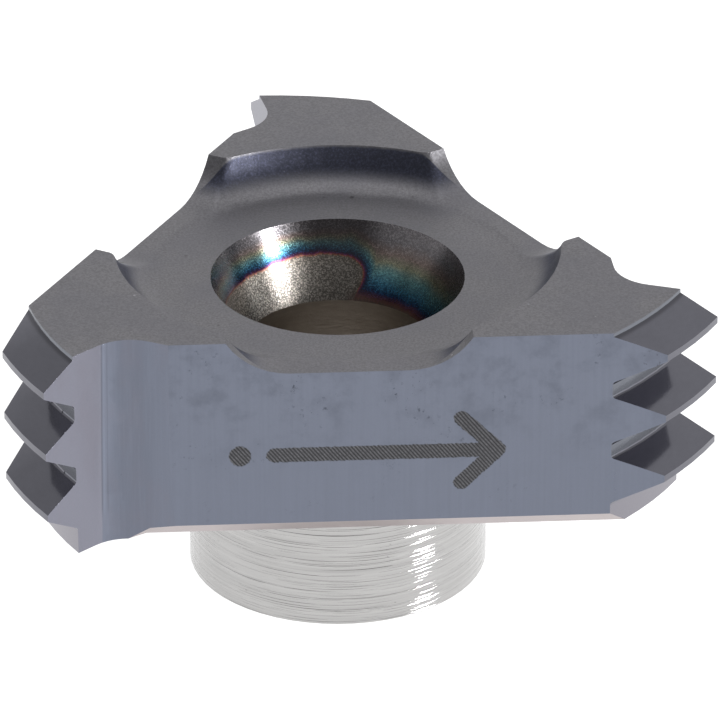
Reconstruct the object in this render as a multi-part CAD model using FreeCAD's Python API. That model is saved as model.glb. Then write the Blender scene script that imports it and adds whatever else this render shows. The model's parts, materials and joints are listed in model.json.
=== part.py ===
import FreeCAD, Part
import math
import os

# A three-edged thread milling insert: one carbide piece with a ground locating boss, three wings with
# relieved thread teeth, three gullets, a recess for the screw head and a countersunk screw hole.
# Millimetres and degrees. The origin is on the hole's axis at the foot of the boss, +Z up through the
# screw head, and the first side face looks along -Y.

# Thread form
thread_pitch = 1.5
teeth_per_wing = 3
flank_half_angle = 30.0
crest_flat = 0.16
root_radius = 0.1
top_land = 0.09
bottom_land = 0.62

# Wings and their cutting edges
wing_count = 3
side_face_distance = 4.68
cutting_radius = 8.73
rake_lag_angle = 49.5
relief_angle = 10.2
relief_radius = 9.59
rake_lean_angle = 0.8

# Gullet in front of each cutting edge, ground shallower towards the wing's underside
gullet_top_start = 3.94
gullet_top_entry_angle = 27.0
gullet_top_radius = 1.0
gullet_foot_start = 3.74
gullet_foot_entry_angle = 6.0
gullet_foot_radius = 1.05

# Broken edges
face_chamfer = 0.35
runout_start = 4.37
runout_angle = 30.0
bore_chamfer = 0.2
ridge_radius = 0.3

# Recess for the screw head
pocket_depth = 0.82
pocket_radius = 5.0
pocket_blend = 1.15
notch_depth = 0.77
notch_width = 5.38
notch_blend = 1.65

# Screw hole
bore_radius = 2.1
seat_mouth_radius = 2.85
seat_depth = 1.7

# Locating boss
boss_radius = 3.39
boss_height = 3.03

# How far a cutter runs past the surface it opens, and how near two edges are that count as one
overrun = 1.0
closeness = 0.001

# Thread form and levels that follow from the sizes above
root_flat = thread_pitch / 4
flank_rise = (thread_pitch - root_flat - crest_flat) / 2
tooth_height = flank_rise / math.tan(math.radians(flank_half_angle))
comb_height = (teeth_per_wing - 1) * thread_pitch + crest_flat + 2 * flank_rise
wing_thickness = bottom_land + comb_height + top_land
wing_top = boss_height + wing_thickness
hub_level = wing_top - pocket_depth
blank_radius = cutting_radius + overrun
first_face_angle = -90.0
wing_step_angle = 360.0 / wing_count
rake_face_angle = first_face_angle - rake_lag_angle
axis = FreeCAD.Vector(0, 0, 0)
upright = FreeCAD.Vector(0, 0, 1)


def polar(radius, angle):
    """The plan point at this radius and angle from the axis."""
    return FreeCAD.Vector(radius * math.cos(math.radians(angle)), radius * math.sin(math.radians(angle)), 0)


def crossing(first_point, first_angle, second_point, second_angle):
    """Where two plan lines meet, each given by a point and its direction."""
    first = polar(1, first_angle)
    second = polar(1, second_angle)
    between = second_point - first_point
    share = (between.x * second.y - between.y * second.x) / (first.x * second.y - first.y * second.x)
    return first_point + first * share


def face_within(edges):
    """The flat face that these edges enclose, in whatever order they come."""
    return Part.Face(Part.Wire(Part.sortEdges(edges)[0]))


def rounded_face(corners, radii):
    """A flat face through the corners, with each corner rounded to its own radius."""
    edges = []
    ends = []
    for index, corner in enumerate(corners):
        back = (corners[index - 1] - corner).normalize()
        ahead = (corners[(index + 1) % len(corners)] - corner).normalize()
        half_angle = back.getAngle(ahead) / 2
        run = radii[index] / math.tan(half_angle)
        start = corner + back * run
        end = corner + ahead * run
        if radii[index]:
            to_centre = (back + ahead).normalize()
            middle = corner + to_centre * (radii[index] / math.sin(half_angle) - radii[index])
            edges.append(Part.Arc(start, middle, end).toShape())
        ends.append((start, end))
    for index, (start, end) in enumerate(ends):
        edges.append(Part.LineSegment(ends[index - 1][1], start).toShape())
    return face_within(edges)


def around_axis(shape):
    """The shape repeated once for each wing, joined into one."""
    turned = [shape.rotated(axis, upright, wing_step_angle * number) for number in range(wing_count)]
    return turned[0].multiFuse(turned[1:])


def relief_axis():
    """The eccentric axis on which the thread form is ground, so that it falls away behind the edge."""
    return polar(cutting_radius, rake_face_angle) - polar(relief_radius, rake_face_angle - relief_angle)


def thread_form():
    """The toothed disc that a wing is cut from, turned about its eccentric relief axis."""
    root = relief_radius - tooth_height
    corners = [FreeCAD.Vector(0, 0, boss_height), FreeCAD.Vector(root, 0, boss_height)]
    radii = [0, 0]
    for number in range(teeth_per_wing):
        foot = boss_height + bottom_land + number * thread_pitch
        last = number == teeth_per_wing - 1
        corners += [
            FreeCAD.Vector(root, 0, foot),
            FreeCAD.Vector(relief_radius, 0, foot + flank_rise),
            FreeCAD.Vector(relief_radius, 0, foot + flank_rise + crest_flat),
            FreeCAD.Vector(root, 0, foot + flank_rise * 2 + crest_flat),
        ]
        radii += [root_radius, 0, 0, 0 if last else root_radius]
    corners += [FreeCAD.Vector(root, 0, wing_top), FreeCAD.Vector(0, 0, wing_top)]
    radii += [0, 0]
    disc = rounded_face(corners, radii).revolve(axis, upright, 360)
    return disc.translated(relief_axis())


def gullet_outline(level, start, entry_angle, radius):
    """The gullet's outline at one level: in from the side face, round its root and out by the rake face."""
    ahead = (boss_height + wing_thickness / 2 - level) * math.tan(math.radians(rake_lean_angle))
    on_rake = polar(ahead, rake_face_angle + 90)
    entry = FreeCAD.Vector(-start, -side_face_distance, 0)
    into = polar(1, 180 - entry_angle)
    outline = rounded_face([
        entry - into * overrun,
        crossing(entry, 180 - entry_angle, on_rake, rake_face_angle),
        on_rake + polar(blank_radius + overrun, rake_face_angle),
    ], [0, radius, 0])
    return outline.translated(upright * level).OuterWire


def gullet():
    """The body of the wheel's cut in front of one cutting edge."""
    foot = gullet_outline(boss_height, gullet_foot_start, gullet_foot_entry_angle, gullet_foot_radius)
    top = gullet_outline(wing_top, gullet_top_start, gullet_top_entry_angle, gullet_top_radius)
    return Part.makeLoft([foot, top], True, True)


def wing():
    """One third of the body: from one side face round its gullet, rake face and teeth to the next face."""
    heel_run = math.sqrt(blank_radius ** 2 - side_face_distance ** 2)
    heel = FreeCAD.Vector(heel_run, -side_face_distance, 0)
    outline = Part.Face(Part.makePolygon([
        axis,
        FreeCAD.Vector(0, -side_face_distance, 0),
        FreeCAD.Vector(-max(gullet_top_start, gullet_foot_start), -side_face_distance, 0),
        polar(blank_radius, rake_face_angle),
        FreeCAD.Rotation(upright, -wing_step_angle).multVec(heel),
        polar(side_face_distance, first_face_angle - wing_step_angle),
        axis,
    ]))
    outline.translate(upright * boss_height)
    return outline.extrude(upright * wing_thickness).common(thread_form()).cut(gullet())


def chamfer_wedge(reach):
    """The wedge below a side face's lower edge, taken this far outside the body."""
    outer = FreeCAD.Vector(-blank_radius, -side_face_distance - reach, boss_height - reach)
    bevel = face_chamfer + 2 * reach
    wedge = Part.Face(Part.makePolygon([
        outer,
        outer + upright * bevel,
        outer + FreeCAD.Vector(0, bevel, 0),
        outer,
    ]))
    return wedge.extrude(FreeCAD.Vector(2 * blank_radius, 0, 0))


def face_chamfers():
    """The bevel on each side face's lower edge, from the heel to where it runs out into the gullet."""
    pivot = FreeCAD.Vector(-runout_start, -side_face_distance, 0)
    runout = chamfer_wedge(blank_radius).rotated(pivot, upright, runout_angle)
    return around_axis(chamfer_wedge(overrun).common(runout))


def recess_section(half_width, depth, blend):
    """Half of a recess in section: the flat floor, and a concave wall up to its edge at the wing's top."""
    floor = wing_top - depth
    foot_x = half_width - math.sqrt(blend ** 2 - (blend - depth) ** 2)
    lean = math.acos(1 - depth / blend) / 2
    foot = FreeCAD.Vector(foot_x, 0, floor)
    middle = FreeCAD.Vector(foot_x + blend * math.sin(lean), 0, floor + blend * (1 - math.cos(lean)))
    edge = FreeCAD.Vector(half_width, 0, wing_top)
    rest = Part.makePolygon([edge, upright * wing_top, upright * floor, foot])
    return face_within([Part.Arc(foot, middle, edge).toShape()] + rest.Edges)


def head_recess():
    """The round pocket that clears the screw head, opened through the middle of each side face."""
    pocket = recess_section(pocket_radius, pocket_depth, pocket_blend).revolve(axis, upright, 360)
    reach = FreeCAD.Vector(0, -side_face_distance - overrun, 0)
    half_notch = recess_section(notch_width / 2, notch_depth, notch_blend).extrude(reach)
    notch = half_notch.fuse(half_notch.mirror(axis, FreeCAD.Vector(1, 0, 0)))
    recess = pocket.fuse(around_axis(notch)).removeSplitter()
    return recess.makeFillet(ridge_radius, ridges(recess))


def ridges(recess):
    """The edges that the round pocket's wall shares with the walls of the notches."""
    pocket_edges = []
    notch_edges = []
    for face in recess.Faces:
        wall = face.Surface
        if isinstance(wall, Part.Toroid) and abs(wall.MinorRadius - pocket_blend) < closeness:
            pocket_edges += face.Edges
        if isinstance(wall, Part.Cylinder) and abs(wall.Radius - notch_blend) < closeness:
            notch_edges += face.Edges
    return [edge for edge in pocket_edges if any(edge.isSame(other) for other in notch_edges)]


def screw_hole():
    """The through bore, with a conical seat above and a small chamfer below."""
    seat_slope = (seat_mouth_radius - bore_radius) / seat_depth
    foot = FreeCAD.Vector(0, 0, -overrun)
    profile = Part.Face(Part.makePolygon([
        foot,
        FreeCAD.Vector(bore_radius + bore_chamfer + overrun, 0, -overrun),
        FreeCAD.Vector(bore_radius, 0, bore_chamfer),
        FreeCAD.Vector(bore_radius, 0, hub_level - seat_depth),
        FreeCAD.Vector(seat_mouth_radius + seat_slope * overrun, 0, hub_level + overrun),
        FreeCAD.Vector(0, 0, hub_level + overrun),
        foot,
    ]))
    return profile.revolve(axis, upright, 360)


def threading_insert():
    """The whole insert as one solid."""
    wings = around_axis(wing()).cut(face_chamfers())
    boss = Part.makeCylinder(boss_radius, boss_height)
    body = wings.fuse(boss).cut(head_recess()).removeSplitter()
    return body.cut(screw_hole()).removeSplitter().Solids[0]


os.makedirs("parts", exist_ok=True)
insert = threading_insert()
insert.exportStep("parts/threading_insert.step")
print("volume", round(insert.Volume, 2), "valid", insert.isValid(), "faces", len(insert.Faces))
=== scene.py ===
import json
import math

import bpy
from mathutils import Matrix, Vector

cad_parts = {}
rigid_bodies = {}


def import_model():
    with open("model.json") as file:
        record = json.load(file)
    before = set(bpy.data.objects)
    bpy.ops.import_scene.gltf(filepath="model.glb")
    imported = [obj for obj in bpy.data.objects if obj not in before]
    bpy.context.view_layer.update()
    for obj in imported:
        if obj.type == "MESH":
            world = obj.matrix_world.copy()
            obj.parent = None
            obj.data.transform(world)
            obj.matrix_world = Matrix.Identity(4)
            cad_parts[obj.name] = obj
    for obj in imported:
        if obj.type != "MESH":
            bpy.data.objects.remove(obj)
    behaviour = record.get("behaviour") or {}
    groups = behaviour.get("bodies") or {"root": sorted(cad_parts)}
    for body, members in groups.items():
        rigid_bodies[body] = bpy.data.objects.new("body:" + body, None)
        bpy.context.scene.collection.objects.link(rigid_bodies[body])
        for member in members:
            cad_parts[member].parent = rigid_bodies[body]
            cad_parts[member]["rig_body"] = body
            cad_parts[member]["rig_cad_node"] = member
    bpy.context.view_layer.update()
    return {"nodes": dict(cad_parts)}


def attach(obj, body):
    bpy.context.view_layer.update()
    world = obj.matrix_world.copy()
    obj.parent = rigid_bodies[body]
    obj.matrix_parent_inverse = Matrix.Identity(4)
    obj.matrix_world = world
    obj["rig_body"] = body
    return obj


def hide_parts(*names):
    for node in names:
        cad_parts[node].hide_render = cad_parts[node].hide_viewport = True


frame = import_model()

bl_info = {
    "name": "Threading insert",
    "version": (1, 0, 0),
    "blender": (4, 5, 0),
    "location": "View3D > Sidebar > Insert",
    "description": "A coated three-edged threading insert with a ground boss, in its studio",
    "category": "Object",
}

# The insert's own sizes that its surfaces are told apart by, in millimetres and radians
MM = 0.001
WING_COUNT = 3
WING_STEP = math.radians(360 / WING_COUNT)
FACE_DIRECTION = math.radians(-90)
FACE_DISTANCE = 4.68
FACE_CHAMFER = 0.35
RAKE_DIRECTION = math.radians(-139.5)
CUTTING_RADIUS = 8.73
RELIEF_RADIUS = 9.59
RELIEF_ANGLE = math.radians(10.2)
THREAD_PITCH = 1.5
TEETH = 3
TOP_LAND = 0.09
CREST_FLAT = 0.16
ROOT_FILLET = 0.1
BOTTOM_LAND = 0.62
WING_THICKNESS = 4.835
FLANK_SLOPE = math.radians(60)
GULLET_REACH = 5.8
POCKET_RADIUS = 5.0
HUB_LEVEL = 7.045
SEAT_MOUTH_RADIUS = 2.85
BORE_RADIUS = 2.1
BORE_CHAMFER = 0.2
BOSS_HEIGHT = 3.03

# Sizes that follow from these
FLANK_RISE = (THREAD_PITCH - THREAD_PITCH / 4 - CREST_FLAT) / 2
ROOT_RADIUS = RELIEF_RADIUS - FLANK_RISE * math.tan(FLANK_SLOPE)
FILLET_SHIFT = ROOT_FILLET * math.tan(FLANK_SLOPE / 2)
WING_TOP = BOSS_HEIGHT + WING_THICKNESS

# How near counts as on a surface, and how far a normal leans before it counts as another surface's
NEAR = 0.02
BEHIND_RAKE = 0.3
WING_SHARE = 0.45
FLAT = 0.999
UPRIGHT = 0.7
LEVEL = 0.3
SIDEWAYS = 0.5
BEVEL_DOWN = 0.6
BEVEL_OUT = 0.55
LAND_MARGIN = 1.2

# How the mesh is cleaned and smoothed, and how the top land's worn edge catches the light
SAME_PLACE = 0.0005
SAME_PLANE = math.radians(0.3)
SAME_SLOPE = math.radians(4)
SHALLOW = math.radians(3)
HONED_FROM = math.radians(34)
SMOOTH_UP_TO = math.radians(40)
LAND_LEAN = math.radians(11)

SURFACES = [
    "face_1", "face_2", "face_3", "sintered", "gullet", "flank", "land", "chamfer", "under", "seat", "bore",
    "boss"]

# The etched mark, from the middle of a side face and its lower edge
MARK_HEIGHT = 2.05
ARROW_TIP = 3.25
ARROW_BARB = 0.8
TAIL_GAP = 0.75
FIRST_DOT = -2.4
DOT_SPACING = 0.65
DOT_TO_STROKE = 1.4
MARK_SOFTNESS = 0.015
MARK_RAGGEDNESS = 0.06
HATCH_PITCH = 0.085
HATCH_SLOPE = 0.8

# The step between gullet and rake face, drawn as a fine groove with painted shade along it and a painted
# highlight beside it, which leans with height, and a fainter line of painted shade inside it
STEP_RADIUS = 7.2
STEP_SLANT = 0.15
INNER_STEP = 0.14

# The bare patch low on the seat, and how fast the coat thickens away from it and down the cone
PATCH_MIDDLE = math.radians(143)
PATCH_HALF_ANGLE = math.radians(60.5)
PATCH_ARM = 2.45
PATCH_LEVEL = 1.2
PATCH_ROUNDING = 0.45
TINT_RUN = 0.62
TINT_FOOT = 1.62
TINT_FOOT_RUN = 1.4

# How soft a speck's rim is, and how sharply the cells that have one are chosen
SPECK_RIM = 0.04
SPECK_CHOICE = 0.01

# Tints that the finishes have in places, with painted shade among them on the pocket walls and in the seat
SINTERED_CLOUD = (0.18, 0.18, 0.21, 1)
# Painted shade for the pocket walls, and the lighter specks within it
WALL_PAINTED_SHADE = (0.05, 0.054, 0.08, 1)
WALL_PAINTED_SPARKLE = (0.13, 0.14, 0.22, 1)
GRIT = (0.6, 0.6, 0.62, 1)
RAKE_TINT = (0.22, 0.22, 0.262, 1)
GULLET_CLOUD = (0.19, 0.175, 0.205, 1)
BOTTOM_LAND_TINT = (0.3, 0.285, 0.315, 1)
UNDERSIDE_CLOUD = (0.3, 0.29, 0.31, 1)
SEAT_FOOT_TINT = (0.16, 0.11, 0.1, 1)
# Painted shade for the seat's coat towards the middle, and for the seat's left end
SEAT_PAINTED_SHADE = (0.045, 0.04, 0.042, 1)
SEAT_END_SHADE = (0.03, 0.035, 0.042, 1)
SEAT_TINTS = [
    (0.0, (0.3, 0.275, 0.25, 1)),
    (0.2, (0.28, 0.25, 0.215, 1)),
    (0.235, (0.36, 0.15, 0.1, 1)),
    (0.27, (0.2, 0.06, 0.13, 1)),
    (0.34, (0.03, 0.07, 0.18, 1)),
    (0.44, (0.07, 0.22, 0.34, 1)),
    (0.56, (0.17, 0.36, 0.38, 1)),
    (0.68, (0.28, 0.29, 0.21, 1)),
    (0.8, (0.23, 0.18, 0.165, 1)),
    (0.95, (0.18, 0.17, 0.18, 1)),
]

# The stage, in metres and radians
WHITE = (1, 1, 1, 1)
FLOOR_SIZE = 4
FLOOR_DROP = 0.00002
FLOOR_ROUGHNESS = 0.9
KEY_DIRECTION = (math.radians(62), math.radians(9))
KEY_DISTANCE = 0.5
KEY_SIZE = (0.065, 0.26)
TOP_DIRECTION = (math.radians(180), math.radians(75))
TOP_DISTANCE = 0.6
TOP_SIZE = (0.4, 0.3)
SENSOR_WIDTH = 36
CAMERA_CLIP = (0.005, 10)


def around(number, angle):
    """The plan direction at this angle on a wing, counted from the first."""
    turned = angle + WING_STEP * number
    return Vector((math.cos(turned), math.sin(turned), 0))


def relief_axis(number):
    """Where the eccentric axis of a wing's teeth stands, in plan."""
    edge = around(number, RAKE_DIRECTION) * CUTTING_RADIUS
    return edge - around(number, RAKE_DIRECTION - RELIEF_ANGLE) * RELIEF_RADIUS


class InsertFinish(bpy.types.PropertyGroup):
    ground_colour: bpy.props.FloatVectorProperty(
        name="Ground coat", description="Coat over the ground side faces and gullets",
        subtype="COLOR", size=4, min=0, max=1, default=(0.168, 0.184, 0.232, 1))
    sintered_colour: bpy.props.FloatVectorProperty(
        name="Sintered coat", description="Coat over the pressed and sintered top",
        subtype="COLOR", size=4, min=0, max=1, default=(0.218, 0.214, 0.228, 1))
    thread_colour: bpy.props.FloatVectorProperty(
        name="Thread coat", description="Coat over the ground thread teeth",
        subtype="COLOR", size=4, min=0, max=1, default=(0.155, 0.155, 0.18, 1))
    land_colour: bpy.props.FloatVectorProperty(
        name="Crests and lands", description="Coat over the crests, roots and lands of the teeth",
        subtype="COLOR", size=4, min=0, max=1, default=(0.165, 0.174, 0.2, 1))
    chamfer_colour: bpy.props.FloatVectorProperty(
        name="Chamfer", description="Thin coat over the lower chamfer of the side faces",
        subtype="COLOR", size=4, min=0, max=1, default=(0.42, 0.37, 0.37, 1))
    bare_colour: bpy.props.FloatVectorProperty(
        name="Bare carbide", description="Ground carbide of the boss, which has no coat",
        subtype="COLOR", size=4, min=0, max=1, default=(0.46, 0.454, 0.448, 1))
    bore_colour: bpy.props.FloatVectorProperty(
        name="Bore", description="Tinted carbide down the screw hole",
        subtype="COLOR", size=4, min=0, max=1, default=(0.34, 0.3, 0.26, 1))
    mark_colour: bpy.props.FloatVectorProperty(
        name="Etched mark", description="Hatched mark that a laser leaves on the side faces",
        subtype="COLOR", size=4, min=0, max=1, default=(0.045, 0.045, 0.048, 1))
    edge_hone: bpy.props.FloatProperty(
        name="Edge hone", description="Width of the fine bevel along every edge",
        unit="LENGTH", precision=6, min=0.000002, max=0.0001, default=0.000014)
    mark_stroke: bpy.props.FloatProperty(
        name="Mark stroke", description="Width of the strokes of the etched mark",
        unit="LENGTH", precision=6, min=0.0001, max=0.001, default=0.00035)


class StudioSetup(bpy.types.PropertyGroup):
    floor_colour: bpy.props.FloatVectorProperty(
        name="Floor", description="Colour of the floor",
        subtype="COLOR", size=4, min=0, max=1, default=(0.35, 0.35, 0.35, 1))
    floor_glow: bpy.props.FloatProperty(
        name="Floor glow", description="How strongly the floor is lit from below",
        min=0, max=2, default=0.96)
    room_light: bpy.props.FloatProperty(
        name="Room light", description="Brightness of the room around the stage",
        min=0, max=5, default=1)
    key_power: bpy.props.FloatProperty(
        name="Key light", description="Power of the tall strip light at the right",
        unit="POWER", min=0, max=50, default=3.6)
    top_power: bpy.props.FloatProperty(
        name="Top light", description="Power of the soft light overhead",
        unit="POWER", min=0, max=50, default=0.35)
    azimuth: bpy.props.FloatProperty(
        name="Azimuth", description="Camera's turn about the object",
        unit="ROTATION", default=math.radians(-3.4353))
    elevation: bpy.props.FloatProperty(
        name="Elevation", description="Camera's height as an angle",
        unit="ROTATION", default=math.radians(27.9541))
    roll: bpy.props.FloatProperty(
        name="Roll", description="Camera's turn about its line of sight",
        unit="ROTATION", default=math.radians(0.0527))
    distance: bpy.props.FloatProperty(
        name="Distance", description="From the camera to the point it looks at",
        unit="LENGTH", precision=5, min=0.01, default=0.138981)
    target: bpy.props.FloatVectorProperty(
        name="Target", description="The point the camera looks at",
        subtype="TRANSLATION", unit="LENGTH", precision=6, default=(0.000503, 0, 0.004894))
    lens: bpy.props.FloatProperty(
        name="Lens", description="Focal length in millimetres", min=10, max=500, default=308.1)


class Wire:
    """A shader socket. Arithmetic on it adds the Math nodes that the expression needs."""

    def __init__(self, tree, socket=None):
        self.tree = tree
        self.socket = socket

    def node(self, kind, settings=(), inputs=(), output=0):
        """Adds a node, sets it up, feeds its sockets and returns one of its outputs."""
        made = self.tree.nodes.new(kind)
        for name, value in dict(settings).items():
            if name == "stops":
                while len(made.color_ramp.elements) < len(value):
                    made.color_ramp.elements.new(1)
                for stop, (position, colour) in zip(made.color_ramp.elements, value):
                    stop.position = position
                    stop.color = colour
            else:
                setattr(made, name, value)
        for name, value in dict(inputs).items():
            if isinstance(value, Wire):
                self.tree.links.new(value.socket, made.inputs[name])
            else:
                made.inputs[name].default_value = value
        return Wire(self.tree, made.outputs[output] if made.outputs else None)

    def other(self, output):
        """Another output of the node that this socket belongs to."""
        return Wire(self.tree, self.socket.node.outputs[output])

    def math(self, operation, *values):
        return self.node("ShaderNodeMath", {"operation": operation}, dict(enumerate(values)))

    def __add__(self, other):
        return self.math("ADD", self, other)

    __radd__ = __add__

    def __sub__(self, other):
        return self.math("SUBTRACT", self, other)

    def __rsub__(self, other):
        return self.math("SUBTRACT", other, self)

    def __mul__(self, other):
        return self.math("MULTIPLY", self, other)

    __rmul__ = __mul__

    def __truediv__(self, other):
        return self.math("DIVIDE", self, other)

    def __rtruediv__(self, other):
        return self.math("DIVIDE", other, self)

    def __pow__(self, other):
        return self.math("POWER", self, other)

    def smooth(self, low, high, start=0.0, end=1.0):
        """A soft step from start to end as the value goes from low to high."""
        return self.node(
            "ShaderNodeMapRange", {"interpolation_type": "SMOOTHSTEP"},
            {"Value": self, "From Min": low, "From Max": high, "To Min": start, "To Max": end})


def stretched(place, scale, turn=(0, 0, 0), shift=(0, 0, 0)):
    """The place with each of its axes stretched, for a pattern that runs one way."""
    return place.node("ShaderNodeMapping", {}, {
        "Vector": place, "Location": shift, "Rotation": turn, "Scale": scale})


def noise(place, scale, detail=2.0, roughness=0.5):
    """Cloudy noise from 0 to 1 with this many lumps to the unit of place."""
    return place.node("ShaderNodeTexNoise", {}, {
        "Vector": place, "Scale": scale, "Detail": detail, "Roughness": roughness})


def specks(place, scale, radius, share):
    """Scattered round specks: cells to the unit of place, a speck's radius, and the share that has one."""
    cells = place.node("ShaderNodeTexVoronoi", {}, {"Vector": place, "Scale": scale})
    chance = place.node("ShaderNodeSeparateColor", {}, {"Color": cells.other("Color")})
    size = radius * scale * chance.other("Green")
    return (cells - size).smooth(SPECK_RIM, -SPECK_RIM) * chance.smooth(1 - share, 1 - share + SPECK_CHOICE)


def hypotenuse(across, along):
    """The length that has these two parts at right angles."""
    return (across * across + along * along) ** 0.5


def blend(mask, first, second):
    """The first colour where the mask is 0 and the second where it is 1."""
    return mask.node("ShaderNodeMix", {"data_type": "RGBA"}, {0: mask, 6: first, 7: second}, 2)


def tone(colour, factor):
    """The colour made lighter or darker."""
    return tuple(min(channel * factor, 1) for channel in colour[:3]) + (1,)


def shaded(colour, factor):
    """The colour with its brightness varied over the surface."""
    return factor.node("ShaderNodeVectorMath", {"operation": "SCALE"}, {0: colour, "Scale": factor})


def bumped(height, depth):
    """A normal for this height, where a height of 1 stands for a depth in millimetres."""
    return height.node("ShaderNodeBump", {}, {"Height": height, "Distance": depth * MM})


def start_material(name):
    """A new empty material and the place on the object in millimetres."""
    material = bpy.data.materials.new(name)
    material.use_nodes = True
    material.node_tree.nodes.clear()
    start = Wire(material.node_tree)
    return material, start.node("ShaderNodeVectorMath", {"operation": "SCALE"}, {
        0: start.node("ShaderNodeTexCoord", output="Object"), "Scale": 1 / MM})


def coordinates(place):
    """The three coordinates of a place."""
    x = place.node("ShaderNodeSeparateXYZ", {}, {0: place})
    return x, x.other("Y"), x.other("Z")


def end_material(colour, roughness, normal):
    """Joins the finish, which is always a bare or coated metal's, to the material's output."""
    shader = colour.node("ShaderNodeBsdfPrincipled", {}, {
        "Base Color": colour, "Roughness": roughness, "Metallic": 1, "Normal": normal})
    shader.node("ShaderNodeOutputMaterial", {}, {"Surface": shader})


def wing_height(z):
    """How far up the wing's thickness a place is, from 0 at the underside to 1 at the top."""
    return (z - BOSS_HEIGHT) / WING_THICKNESS


def sintered_material(finish):
    """Matt coat on the pressed skin: fine grain, dark pits, pale grit, and painted shade on the pocket
    walls, darker and bluer with lighter specks.
    """
    material, place = start_material("sintered_coat")
    x, y, z = coordinates(place)
    coat = finish.sintered_colour
    grain = noise(place, 19, detail=4, roughness=0.7)
    clouds = noise(place, 0.7, detail=3)
    pits = specks(place, 1.5, radius=0.06, share=0.3)
    grit = specks(place, 2.2, radius=0.025, share=0.25)
    # Painted shade: the pocket walls are darkened and turned bluer, with lighter specks in the grain
    painted_wall_shade = (z - HUB_LEVEL).smooth(0.1, 0.4) * hypotenuse(x, y).smooth(POCKET_RADIUS, POCKET_RADIUS - 0.03)
    colour = blend(grain.smooth(0.3, 0.7), tone(coat, 0.8), tone(coat, 1.22))
    colour = blend(clouds.smooth(0.35, 0.7) * 0.3, colour, SINTERED_CLOUD)
    colour = blend(painted_wall_shade * 0.9, colour, WALL_PAINTED_SHADE)
    colour = blend(painted_wall_shade * grain.smooth(0.45, 0.7) * 0.5, colour, WALL_PAINTED_SPARKLE)
    colour = blend(pits * 0.7, colour, tone(coat, 0.25))
    colour = blend(grit * 0.5, colour, GRIT)
    roughness = 0.4 + grain * 0.12 + clouds * 0.06
    end_material(colour, roughness, bumped(grain - pits * 0.6, depth=0.004))
    return material


def mark_mask(finish, place, x, z, number):
    """The etched mark of a side face: an arrow along the cut, and as many dots as the edge's number."""
    up = z - (BOSS_HEIGHT + MARK_HEIGHT)
    half = finish.mark_stroke / MM / 2
    tail = FIRST_DOT + DOT_SPACING * number + TAIL_GAP
    barb = ARROW_TIP - ARROW_BARB
    strokes = [
        ((tail, 0), (ARROW_TIP, 0)),
        ((barb, ARROW_BARB), (ARROW_TIP, 0)),
        ((barb, -ARROW_BARB), (ARROW_TIP, 0)),
    ]
    aways = []
    for (from_x, from_up), (to_x, to_up) in strokes:
        run_x, run_up = to_x - from_x, to_up - from_up
        beside_x, beside_up = x - from_x, up - from_up
        share = (beside_x * run_x + beside_up * run_up) / (run_x ** 2 + run_up ** 2)
        along = share.node("ShaderNodeClamp", {}, {"Value": share})
        aways.append(hypotenuse(beside_x - along * run_x, beside_up - along * run_up) - half)
    for dot in range(number + 1):
        aways.append(hypotenuse(x - FIRST_DOT - DOT_SPACING * dot, up) - half * DOT_TO_STROKE)
    nearest = aways[0]
    for away in aways[1:]:
        nearest = nearest.math("MINIMUM", nearest, away)
    ragged = (noise(place, 16, detail=1) - 0.5) * MARK_RAGGEDNESS
    return (nearest + ragged).smooth(MARK_SOFTNESS, -MARK_SOFTNESS)


def face_material(finish, number):
    """Ground side face under its coat, with cloudy stains near the top and the etched mark of its edge."""
    material, place = start_material("side_face_%d" % (number + 1))
    x, _, z = coordinates(stretched(place, (1, 1, 1), turn=(0, 0, -WING_STEP * number)))
    coat = finish.ground_colour
    grain = noise(place, 26, detail=2, roughness=0.6)
    lines = noise(stretched(place, (9, 9, 0.25)), 1.5, detail=3)
    clouds = noise(place, 1.3, detail=5, roughness=0.65)
    upper = (z - BOSS_HEIGHT).smooth(1.2, 3.7)
    stains = clouds.smooth(0.42, 0.72) * (0.1 + upper * 0.9)
    crowd = noise(stretched(place, (1, 1, 1), shift=(4, 2, 9)), 0.8, detail=2).smooth(0.5, 0.62)
    pits = noise(place, 7, detail=4, roughness=0.75).smooth(0.6, 0.66) * crowd * (0.25 + upper * 0.75)
    mark = mark_mask(finish, place, x, z, number)
    hatch = place.math("SINE", (x + z * HATCH_SLOPE) * (2 * math.pi / HATCH_PITCH)) * 0.5 + 0.5
    colour = blend(lines, tone(coat, 0.93), tone(coat, 1.07))
    colour = blend(grain * 0.3, colour, tone(coat, 0.8))
    colour = blend(stains * 0.65, colour, tone(coat, 0.7))
    colour = blend(pits * 0.6, colour, tone(coat, 0.2))
    etched = blend(hatch * grain, finish.mark_colour, tone(finish.mark_colour, 5))
    colour = blend(mark, colour, etched)
    roughness = 0.26 + lines * 0.05 + stains * 0.08 + mark * 0.3
    height = lines * 0.3 + grain * 0.4 - pits - mark * (1 + hatch)
    end_material(colour, roughness, bumped(height, depth=0.0022))
    return material


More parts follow.
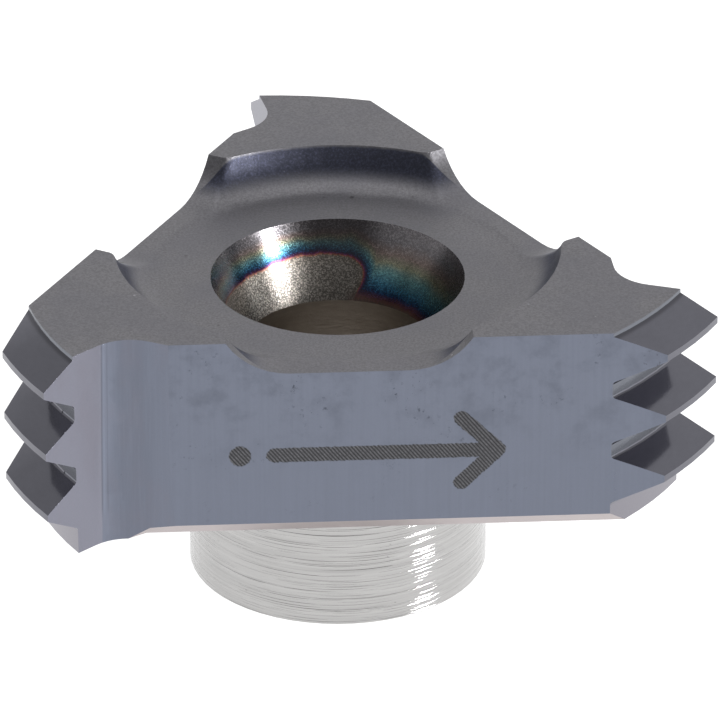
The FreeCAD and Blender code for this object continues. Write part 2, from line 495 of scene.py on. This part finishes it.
def gullet_material(finish):
    """Ground gullet and rake face: bands and lines along the axis, a band of painted shade across the curve,
    and a fine step where the two meet, drawn with painted shade and a painted highlight.
    """
    material, place = start_material("gullet_ground")
    x, y, z = coordinates(place)
    coat = finish.ground_colour
    radius = hypotenuse(x, y)
    step = radius - STEP_RADIUS + wing_height(z) * STEP_SLANT
    rake = step.smooth(-0.02, 0.02)
    # The step's dark line and the fainter one inside it are painted shade, and the strip beside them a
    # painted highlight
    step_groove_and_shade = step.smooth(-0.03, -0.005) * step.smooth(0.03, 0.005)
    inner = step + INNER_STEP
    second = inner.smooth(-0.025, -0.005) * inner.smooth(0.025, 0.005)
    painted_step_highlight = step.smooth(-0.1, -0.06) * step.smooth(-0.02, -0.05)
    fade = wing_height(z).smooth(0.1, 0.2)
    # Painted shade: a darker band across the gullet's curved hollow
    hollow = radius.smooth(6.18, 6.4) * radius.smooth(6.95, 6.7)
    lines = noise(stretched(place, (1, 1, 0.012)), 16, detail=3, roughness=0.6)
    clouds = noise(stretched(place, (1, 1, 0.4)), 1.3, detail=3, roughness=0.6)
    grain = noise(place, 24, detail=2)
    pits = specks(place, 4, radius=0.03, share=0.3) * noise(place, 0.9, detail=2).smooth(0.52, 0.6)
    colour = blend(rake, tone(coat, 0.97), RAKE_TINT)
    colour = blend(hollow * 0.75, colour, tone(coat, 0.88))
    colour = blend(lines.smooth(0.4, 0.75) * (0.3 - rake * 0.2), colour, tone(coat, 1.15))
    colour = blend(clouds.smooth(0.4, 0.7) * 0.25, colour, GULLET_CLOUD)
    colour = blend(grain * 0.25, colour, tone(coat, 0.8))
    # Painted shade along the step, and a painted highlight beside it
    colour = blend((step_groove_and_shade + second * 0.6) * fade * 0.45, colour, tone(coat, 0.5))
    colour = blend(painted_step_highlight * fade * 0.25, colour, tone(coat, 1.4))
    colour = blend(pits * 0.6, colour, tone(coat, 0.25))
    height = lines * (1 - rake * 0.6) + grain * 0.3 - step_groove_and_shade * 0.3
    end_material(colour, 0.26 + grain * 0.08, bumped(height, depth=0.0022))
    return material


def thread_material(name, base):
    """Ground teeth: a glossy coat with fine lines round the thread, and painted shade at the foot of the top
    land.
    """
    material, place = start_material(name)
    _, _, z = coordinates(place)
    lines = noise(stretched(place, (0.25, 0.25, 1)), 20, detail=3, roughness=0.6)
    grain = noise(place, 20, detail=2)
    clouds = noise(place, 1.2, detail=2)
    above = z - (WING_TOP - TOP_LAND)
    # Painted shade: a dark line on the flank just under the top land
    foot = above.smooth(-0.07, -0.02) * above.smooth(0.008, 0.002)
    lowest = (z - BOSS_HEIGHT).smooth(BOTTOM_LAND, BOTTOM_LAND - 0.08)
    colour = blend(lines, tone(base, 0.92), tone(base, 1.08))
    colour = blend(clouds.smooth(0.4, 0.7) * 0.25, colour, tone(base, 0.85))
    colour = blend(foot * 0.75, colour, tone(base, 0.45))
    colour = blend(lowest * 0.7, colour, BOTTOM_LAND_TINT)
    end_material(colour, 0.1 + grain * 0.06, bumped(lines + grain * 0.5, depth=0.0006))
    return material


def chamfer_material(finish):
    """Thin pinkish coat on the lower chamfer."""
    material, place = start_material("chamfer_ground")
    grain = noise(place, 18, detail=3)
    clouds = noise(place, 1.5, detail=2)
    colour = blend(clouds, tone(finish.chamfer_colour, 0.9), tone(finish.chamfer_colour, 1.12))
    end_material(colour, 0.3 + grain * 0.1, bumped(grain, depth=0.002))
    return material


def under_material(finish):
    """Ground underside of the wings, with crossing grinding lines under a thin coat."""
    material, place = start_material("underside_ground")
    lines = noise(stretched(place, (1, 0.02, 1), turn=(0, 0, 0.6)), 14, detail=3, roughness=0.6)
    clouds = noise(place, 0.8, detail=3)
    colour = blend(lines, tone(finish.ground_colour, 0.85), tone(finish.ground_colour, 1.2))
    colour = blend(clouds.smooth(0.45, 0.7) * 0.4, colour, UNDERSIDE_CLOUD)
    end_material(colour, 0.25 + clouds * 0.1, bumped(lines, depth=0.002))
    return material


def seat_material():
    """Conical seat: the coat thins out down the cone through its tints, round a patch of bare carbide, with
    a painted highlight on the bare patch, its right side painted lighter, and painted shade over the middle
    of the coat and at the left end.
    """
    material, place = start_material("seat_tinted")
    x, y, z = coordinates(place)
    wobble = (noise(place, 1.3, detail=3) - 0.5) * 0.3
    grain = noise(place, 26, detail=3, roughness=0.7)
    depth = HUB_LEVEL - z + wobble
    share = (x * math.cos(PATCH_MIDDLE) + y * math.sin(PATCH_MIDDLE)) / hypotenuse(x, y)
    turn = share.math("ARCCOSINE", share)
    aside = (turn - PATCH_HALF_ANGLE) * PATCH_ARM
    aside = aside.math("MAXIMUM", aside, 0)
    above = PATCH_LEVEL - depth
    above = above.math("MAXIMUM", above, 0) + above.math("MINIMUM", above, 0) * aside.smooth(0, 0.4)
    distance = hypotenuse(aside, above) - PATCH_ROUNDING
    foot = (TINT_FOOT - depth) / TINT_FOOT_RUN
    thickness = distance.math("MINIMUM", distance / TINT_RUN, foot) + (grain - 0.5) * 0.2
    bands = place.node("ShaderNodeValToRGB", {"stops": SEAT_TINTS}, {"Fac": thickness * 0.75 + 0.25})
    bare = thickness.smooth(0.03, -0.03)
    # Painted highlight: the bare patch is lightened towards its left, and its grain brightened there
    glow = x.smooth(0.1, -1.2) * bare
    grain_and_highlight = grain.smooth(0.42, 0.7) * (1.2 + glow * 2.2)
    # Painted shade over the coat towards the middle of the seat
    dim = turn.smooth(math.radians(28), math.radians(48)) * turn.smooth(math.radians(82), math.radians(66))
    # The right side of the seat is painted lighter, and the painted highlight adds to it
    colour = shaded(bands, grain_and_highlight + 0.45 + x.smooth(0.5, 1.6) * 0.5 + glow * 0.35)
    colour = blend(depth.smooth(1.4, 1.7) * aside.smooth(-0.1, 0.3) * 0.8, colour, SEAT_FOOT_TINT)
    # Painted shade darkens the coat there
    colour = blend(dim * thickness.smooth(0, 0.1) * 0.72, colour, SEAT_PAINTED_SHADE)
    # Painted shade darkens the seat's left end
    colour = blend((x * -1).smooth(1.95, 2.35) * 0.6, colour, SEAT_END_SHADE)
    end_material(colour, 0.24 + grain * 0.06 + bare * 0.1, bumped(grain, depth=0.0012))
    return material


def bore_material(finish):
    """Screw hole and its lower edge: brown-tinted carbide with lines round it."""
    material, place = start_material("bore_tinted")
    _, _, z = coordinates(place)
    lines = noise(stretched(place, (0.3, 0.3, 1)), 12, detail=3)
    grain = noise(place, 20, detail=3)
    colour = blend(lines, tone(finish.bore_colour, 0.8), tone(finish.bore_colour, 1.25))
    colour = blend((BOSS_HEIGHT - z).smooth(0.5, 3), colour, tone(finish.bare_colour, 0.7))
    end_material(colour, 0.35 + grain * 0.15, bumped(grain + lines, depth=0.004))
    return material


def boss_material(finish):
    """Bare ground boss: long uneven lines round it that spread the light, some a little askew, and nicks."""
    material, place = start_material("boss_ground")
    metal = finish.bare_colour
    lines = noise(stretched(place, (0.01, 0.01, 1)), 20, detail=2, roughness=0.6)
    tilted = stretched(place, (0.012, 0.012, 1), turn=(0, 0.03, 0), shift=(3, 1, 7))
    askew = noise(tilted, 8, detail=3, roughness=0.7)
    patches = noise(place, 0.9, detail=3)
    nicks = noise(place, 6, detail=3, roughness=0.7).smooth(0.7, 0.74)
    colour = blend(lines.smooth(0.3, 0.7), tone(metal, 0.94), tone(metal, 1.06))
    colour = blend(askew.smooth(0.6, 0.68) * 0.3, colour, tone(metal, 0.65))
    colour = blend(nicks * 0.5, colour, tone(metal, 0.35))
    end_material(colour, 0.09 + patches * 0.04, bumped(lines + askew * 0.12, depth=0.029))
    return material


def is_sideways(normal, swept):
    """Whether a face looks along the thread's run rather than across it."""
    return abs(normal.dot(Vector((-swept.y, swept.x, 0)).normalized())) > SIDEWAYS


def surface_of(centre, normal):
    """Which surface of the insert a face belongs to, from its place in millimetres and its normal."""
    plan = Vector((centre.x, centre.y, 0))
    radius = plan.length
    if centre.z < BOSS_HEIGHT - NEAR:
        beyond_bore = radius > BORE_RADIUS + BORE_CHAMFER + 3 * NEAR
        return "boss" if beyond_bore or abs(normal.z) > FLAT else "bore"
    if normal.z < -FLAT and centre.z < BOSS_HEIGHT + NEAR:
        return "under"
    if radius < BORE_RADIUS + NEAR and abs(normal.z) < NEAR:
        return "bore"
    if radius < SEAT_MOUTH_RADIUS and centre.z < HUB_LEVEL - NEAR:
        return "seat"
    for number in range(WING_COUNT):
        outward = around(number, FACE_DIRECTION)
        if normal.dot(outward) > FLAT and plan.dot(outward) > FACE_DISTANCE - NEAR:
            return SURFACES[number]
        bevelled = normal.z < -BEVEL_DOWN and normal.dot(outward) > BEVEL_OUT
        if bevelled and centre.z < BOSS_HEIGHT + FACE_CHAMFER + NEAR:
            return "chamfer"
        edge = around(number, RAKE_DIRECTION)
        swept = plan - relief_axis(number)
        in_wing = plan.normalized().dot(edge) > math.cos(WING_STEP * WING_SHARE)
        sideways = is_sideways(normal, swept)
        behind = edge.cross(plan).z < -BEHIND_RAKE
        if in_wing and swept.length > ROOT_RADIUS - NEAR and (behind or not sideways) and normal.z < FLAT:
            crest = swept.length > RELIEF_RADIUS - NEAR
            return "flank" if crest or (abs(normal.z) > LEVEL and not sideways) else "land"
    if radius > GULLET_REACH and normal.z < UPRIGHT:
        return "gullet"
    return "sintered"


def mark_edges(mesh):
    """Picks the edges that are honed, and keeps those crisp where two surfaces meet at a shallow angle."""
    teeth = [SURFACES.index("flank"), SURFACES.index("land")]
    sides = {}
    for polygon in mesh.polygons:
        for key in polygon.edge_keys:
            sides.setdefault(key, []).append(polygon)
    honed = mesh.attributes.new("bevel_weight_edge", "FLOAT", "EDGE")
    for edge in mesh.edges:
        beside = sides.get(edge.key, [])
        if len(beside) != 2:
            continue
        first, second = beside
        turned = first.normal.angle(second.normal, 0)
        both_teeth = first.material_index in teeth and second.material_index in teeth
        middle = (mesh.vertices[edge.vertices[0]].co + mesh.vertices[edge.vertices[1]].co) / 2
        if turned > HONED_FROM and not (both_teeth and at_root(middle)):
            honed.data[edge.index].value = 1
        elif first.material_index != second.material_index and not both_teeth and turned > SHALLOW:
            edge.use_edge_sharp = True


def wing_at(point):
    """The number of the wing that a point lies on."""
    return max(range(WING_COUNT), key=lambda wing: point.dot(around(wing, RAKE_DIRECTION)))


def at_root(point):
    """Whether a point of the teeth lies in the rounded roots."""
    swept = Vector((point.x, point.y, 0)) - relief_axis(wing_at(point))
    return swept.length < ROOT_RADIUS + ROOT_FILLET


def fillet_centres():
    """The centres of the round fillets at the teeth's roots, as radius on the relief axis and height."""
    centres = []
    for tooth in range(TEETH):
        foot = BOSS_HEIGHT + BOTTOM_LAND + tooth * THREAD_PITCH
        centres.append((ROOT_RADIUS + ROOT_FILLET, foot - FILLET_SHIFT))
        if tooth < TEETH - 1:
            centres.append((ROOT_RADIUS + ROOT_FILLET, foot + FLANK_RISE * 2 + CREST_FLAT + FILLET_SHIFT))
    return centres


def true_normal(point, facet_normal, number):
    """The exact normal of a wing's ground teeth at a point, in place of the facet's."""
    swept = Vector((point.x, point.y, 0)) - relief_axis(number)
    outward = swept.normalized()
    if point.z > WING_TOP - TOP_LAND * LAND_MARGIN and abs(facet_normal.z) < LEVEL:
        return outward * math.cos(LAND_LEAN) + Vector((0, 0, math.sin(LAND_LEAN)))
    steep = math.atan2(abs(facet_normal.z), facet_normal.dot(outward))
    sideways = is_sideways(facet_normal, swept)
    if steep < SAME_SLOPE and not sideways:
        return outward
    if abs(steep - FLANK_SLOPE) < SAME_SLOPE and not sideways:
        up = math.copysign(math.sin(FLANK_SLOPE), facet_normal.z)
        return outward * math.cos(FLANK_SLOPE) + Vector((0, 0, up))
    if swept.length < ROOT_RADIUS + ROOT_FILLET + NEAR / 4:
        away, height = min(fillet_centres(), key=lambda centre: abs(centre[1] - point.z))
        return (outward * (away - swept.length) + Vector((0, 0, height - point.z))).normalized()
    return None


def true_normals(mesh):
    """Gives the ground teeth the normals of their exact surfaces."""
    teeth = [SURFACES.index("flank"), SURFACES.index("land")]
    normals = [corner.vector.copy() for corner in mesh.corner_normals]
    for polygon in mesh.polygons:
        if polygon.material_index not in teeth:
            continue
        number = wing_at(polygon.center)
        for corner in polygon.loop_indices:
            point = mesh.vertices[mesh.loops[corner].vertex_index].co
            normals[corner] = true_normal(point, polygon.normal, number) or normals[corner]
    mesh.normals_split_custom_set(normals)


def dress(copy, finish, materials):
    """Gives each surface its material and hones every edge, working in millimetres."""
    copy.scale = (1 / MM,) * 3
    bpy.ops.object.transform_apply(location=False, rotation=False, scale=True)
    bpy.ops.object.mode_set(mode="EDIT")
    bpy.ops.mesh.select_all(action="SELECT")
    bpy.ops.mesh.remove_doubles(threshold=SAME_PLACE)
    bpy.ops.mesh.customdata_custom_splitnormals_clear()
    bpy.ops.mesh.dissolve_limited(angle_limit=SAME_PLANE)
    bpy.ops.object.mode_set(mode="OBJECT")
    copy.data.materials.clear()
    for surface in SURFACES:
        copy.data.materials.append(materials[surface])
    for polygon in copy.data.polygons:
        polygon.material_index = SURFACES.index(surface_of(polygon.center, polygon.normal))
    mark_edges(copy.data)
    hone = copy.modifiers.new("hone", "BEVEL")
    hone.width = finish.edge_hone / MM
    hone.segments = 2
    hone.limit_method = "WEIGHT"
    hone.use_clamp_overlap = True
    hone.harden_normals = False
    bpy.ops.object.modifier_apply(modifier=hone.name)
    bpy.ops.object.shade_smooth_by_angle(angle=SMOOTH_UP_TO, keep_sharp_edges=True)
    weighted = copy.modifiers.new("weighted", "WEIGHTED_NORMAL")
    weighted.keep_sharp = True
    weighted.weight = 100
    bpy.ops.object.modifier_apply(modifier=weighted.name)
    true_normals(copy.data)
    copy.scale = (MM,) * 3
    bpy.ops.object.transform_apply(location=False, rotation=False, scale=True)


class OBJECT_OT_dress_insert(bpy.types.Operator):
    """Dress the insert's solid with its coats, ground surfaces, honed edges and etched marks"""

    bl_idname = "threading_insert.dress_insert"
    bl_label = "Dress insert"

    def execute(self, context):
        finish = context.scene.insert_finish
        solid = frame["nodes"]["threading_insert"]
        bpy.ops.object.select_all(action="DESELECT")
        copy = solid.copy()
        copy.data = solid.data.copy()
        copy.name = "dressed_insert"
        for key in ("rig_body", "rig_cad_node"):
            del copy[key]
        copy.parent = None
        context.scene.collection.objects.link(copy)
        copy.select_set(True)
        context.view_layer.objects.active = copy
        materials = {SURFACES[number]: face_material(finish, number) for number in range(WING_COUNT)}
        materials["sintered"] = sintered_material(finish)
        materials["gullet"] = gullet_material(finish)
        materials["flank"] = thread_material("flank_ground", finish.thread_colour)
        materials["land"] = thread_material("land_ground", finish.land_colour)
        materials["chamfer"] = chamfer_material(finish)
        materials["under"] = under_material(finish)
        materials["seat"] = seat_material()
        materials["bore"] = bore_material(finish)
        materials["boss"] = boss_material(finish)
        dress(copy, finish, materials)
        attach(copy, "root")
        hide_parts("threading_insert")
        return {"FINISHED"}


def room_world(studio):
    """The room's light: pale behind, a soft ceiling, and dim on the camera's side."""
    world = bpy.data.worlds.new("studio_room")
    world.use_nodes = True
    world.node_tree.nodes.clear()
    start = Wire(world.node_tree)
    right, back, up = coordinates(start.node("ShaderNodeTexCoord", output="Generated"))
    behind = back.smooth(-0.35, 0.45)
    screen = back.smooth(0.68, 0.86)
    ceiling = (up * 0.978 + back * 0.208).smooth(0.88, 0.95)
    low_wall = up.smooth(0.55, 0.3) * (1 - behind)
    right_wall = right.smooth(0.3, 0.5) * behind
    left_wall = (right * -1).smooth(0.3, 0.5) * behind
    level = 0.1 + (low_wall + behind + ceiling) * 0.33 + screen * 0.42 + right_wall * 0.36 + left_wall * 0.16
    light = start.node("ShaderNodeBackground", {}, {"Color": WHITE, "Strength": level * studio.room_light})
    light.node("ShaderNodeOutputWorld", {}, {"Surface": light})
    return world


def area_light(name, place, aim, size, power):
    """A rectangular soft light that faces the point it is aimed at."""
    light = bpy.data.lights.new(name, "AREA")
    light.shape = "RECTANGLE"
    light.size, light.size_y = size
    light.energy = power
    holder = bpy.data.objects.new(name, light)
    holder.location = place
    holder.rotation_euler = (Vector(place) - Vector(aim)).to_track_quat("Z", "Y").to_euler()
    bpy.context.scene.collection.objects.link(holder)


def toward(azimuth, elevation):
    """The direction at this azimuth, counted from the first side face's front, and this elevation."""
    flat = math.cos(elevation)
    return Vector((math.sin(azimuth) * flat, -math.cos(azimuth) * flat, math.sin(elevation)))


def aimed_camera(studio):
    """The camera, which looks at its target from the studio's distance and direction."""
    camera = bpy.data.objects.new("camera", bpy.data.cameras.new("camera"))
    back = toward(studio.azimuth, studio.elevation)
    across = Vector((0, 0, 1)).cross(back).normalized()
    rolled = across * math.cos(studio.roll) + back.cross(across) * math.sin(studio.roll)
    turned = Matrix((rolled, back.cross(rolled), back)).transposed()
    place = Vector(studio.target) + back * studio.distance
    camera.matrix_world = Matrix.Translation(place) @ turned.to_4x4()
    camera.data.lens = studio.lens
    camera.data.sensor_width = SENSOR_WIDTH
    camera.data.clip_start, camera.data.clip_end = CAMERA_CLIP
    bpy.context.scene.collection.objects.link(camera)
    return camera


def lit_floor(studio):
    """The plain floor, lit from below so that it shows no shadow."""
    bpy.ops.object.select_all(action="DESELECT")
    bpy.ops.mesh.primitive_plane_add(size=FLOOR_SIZE, location=(0, 0, -FLOOR_DROP))
    floor = bpy.context.active_object
    floor.name = "floor"
    bpy.ops.object.transform_apply(location=True, rotation=False, scale=False)
    material = bpy.data.materials.new("floor")
    material.use_nodes = True
    material.node_tree.nodes.clear()
    shader = Wire(material.node_tree).node("ShaderNodeBsdfPrincipled", {}, {
        "Base Color": studio.floor_colour, "Roughness": FLOOR_ROUGHNESS, "Emission Color": WHITE,
        "Emission Strength": studio.floor_glow})
    shader.node("ShaderNodeOutputMaterial", {}, {"Surface": shader})
    floor.data.materials.append(material)
    return floor


class SCENE_OT_set_stage(bpy.types.Operator):
    """Set the floor, the studio lights and the camera"""

    bl_idname = "threading_insert.set_stage"
    bl_label = "Set stage"

    def execute(self, context):
        studio = context.scene.insert_studio
        lit_floor(studio)
        context.scene.world = room_world(studio)
        aim = Vector(studio.target)
        key_place = aim + toward(*KEY_DIRECTION) * KEY_DISTANCE
        top_place = aim + toward(*TOP_DIRECTION) * TOP_DISTANCE
        area_light("key_light", key_place, aim, KEY_SIZE, studio.key_power)
        area_light("top_light", top_place, aim, TOP_SIZE, studio.top_power)
        context.scene.camera = aimed_camera(studio)
        context.scene.view_settings.view_transform = "Standard"
        return {"FINISHED"}


class VIEW3D_PT_threading_insert(bpy.types.Panel):
    """Lists the insert's steps and the values they use"""

    bl_label = "Threading insert"
    bl_space_type = "VIEW_3D"
    bl_region_type = "UI"
    bl_category = "Insert"

    def draw(self, context):
        for settings, operator in (
            (context.scene.insert_finish, OBJECT_OT_dress_insert),
            (context.scene.insert_studio, SCENE_OT_set_stage),
        ):
            self.layout.operator(operator.bl_idname)
            column = self.layout.column()
            for name in settings.__annotations__:
                column.prop(settings, name)


CLASSES = (InsertFinish, StudioSetup, OBJECT_OT_dress_insert, SCENE_OT_set_stage, VIEW3D_PT_threading_insert)


def register():
    for each in CLASSES:
        bpy.utils.register_class(each)
    bpy.types.Scene.insert_finish = bpy.props.PointerProperty(type=InsertFinish)
    bpy.types.Scene.insert_studio = bpy.props.PointerProperty(type=StudioSetup)


def unregister():
    del bpy.types.Scene.insert_studio
    del bpy.types.Scene.insert_finish
    for each in reversed(CLASSES):
        bpy.utils.unregister_class(each)


def main():
    register()
    bpy.ops.threading_insert.dress_insert()
    bpy.ops.threading_insert.set_stage()


if __name__ == "__main__":
    main()
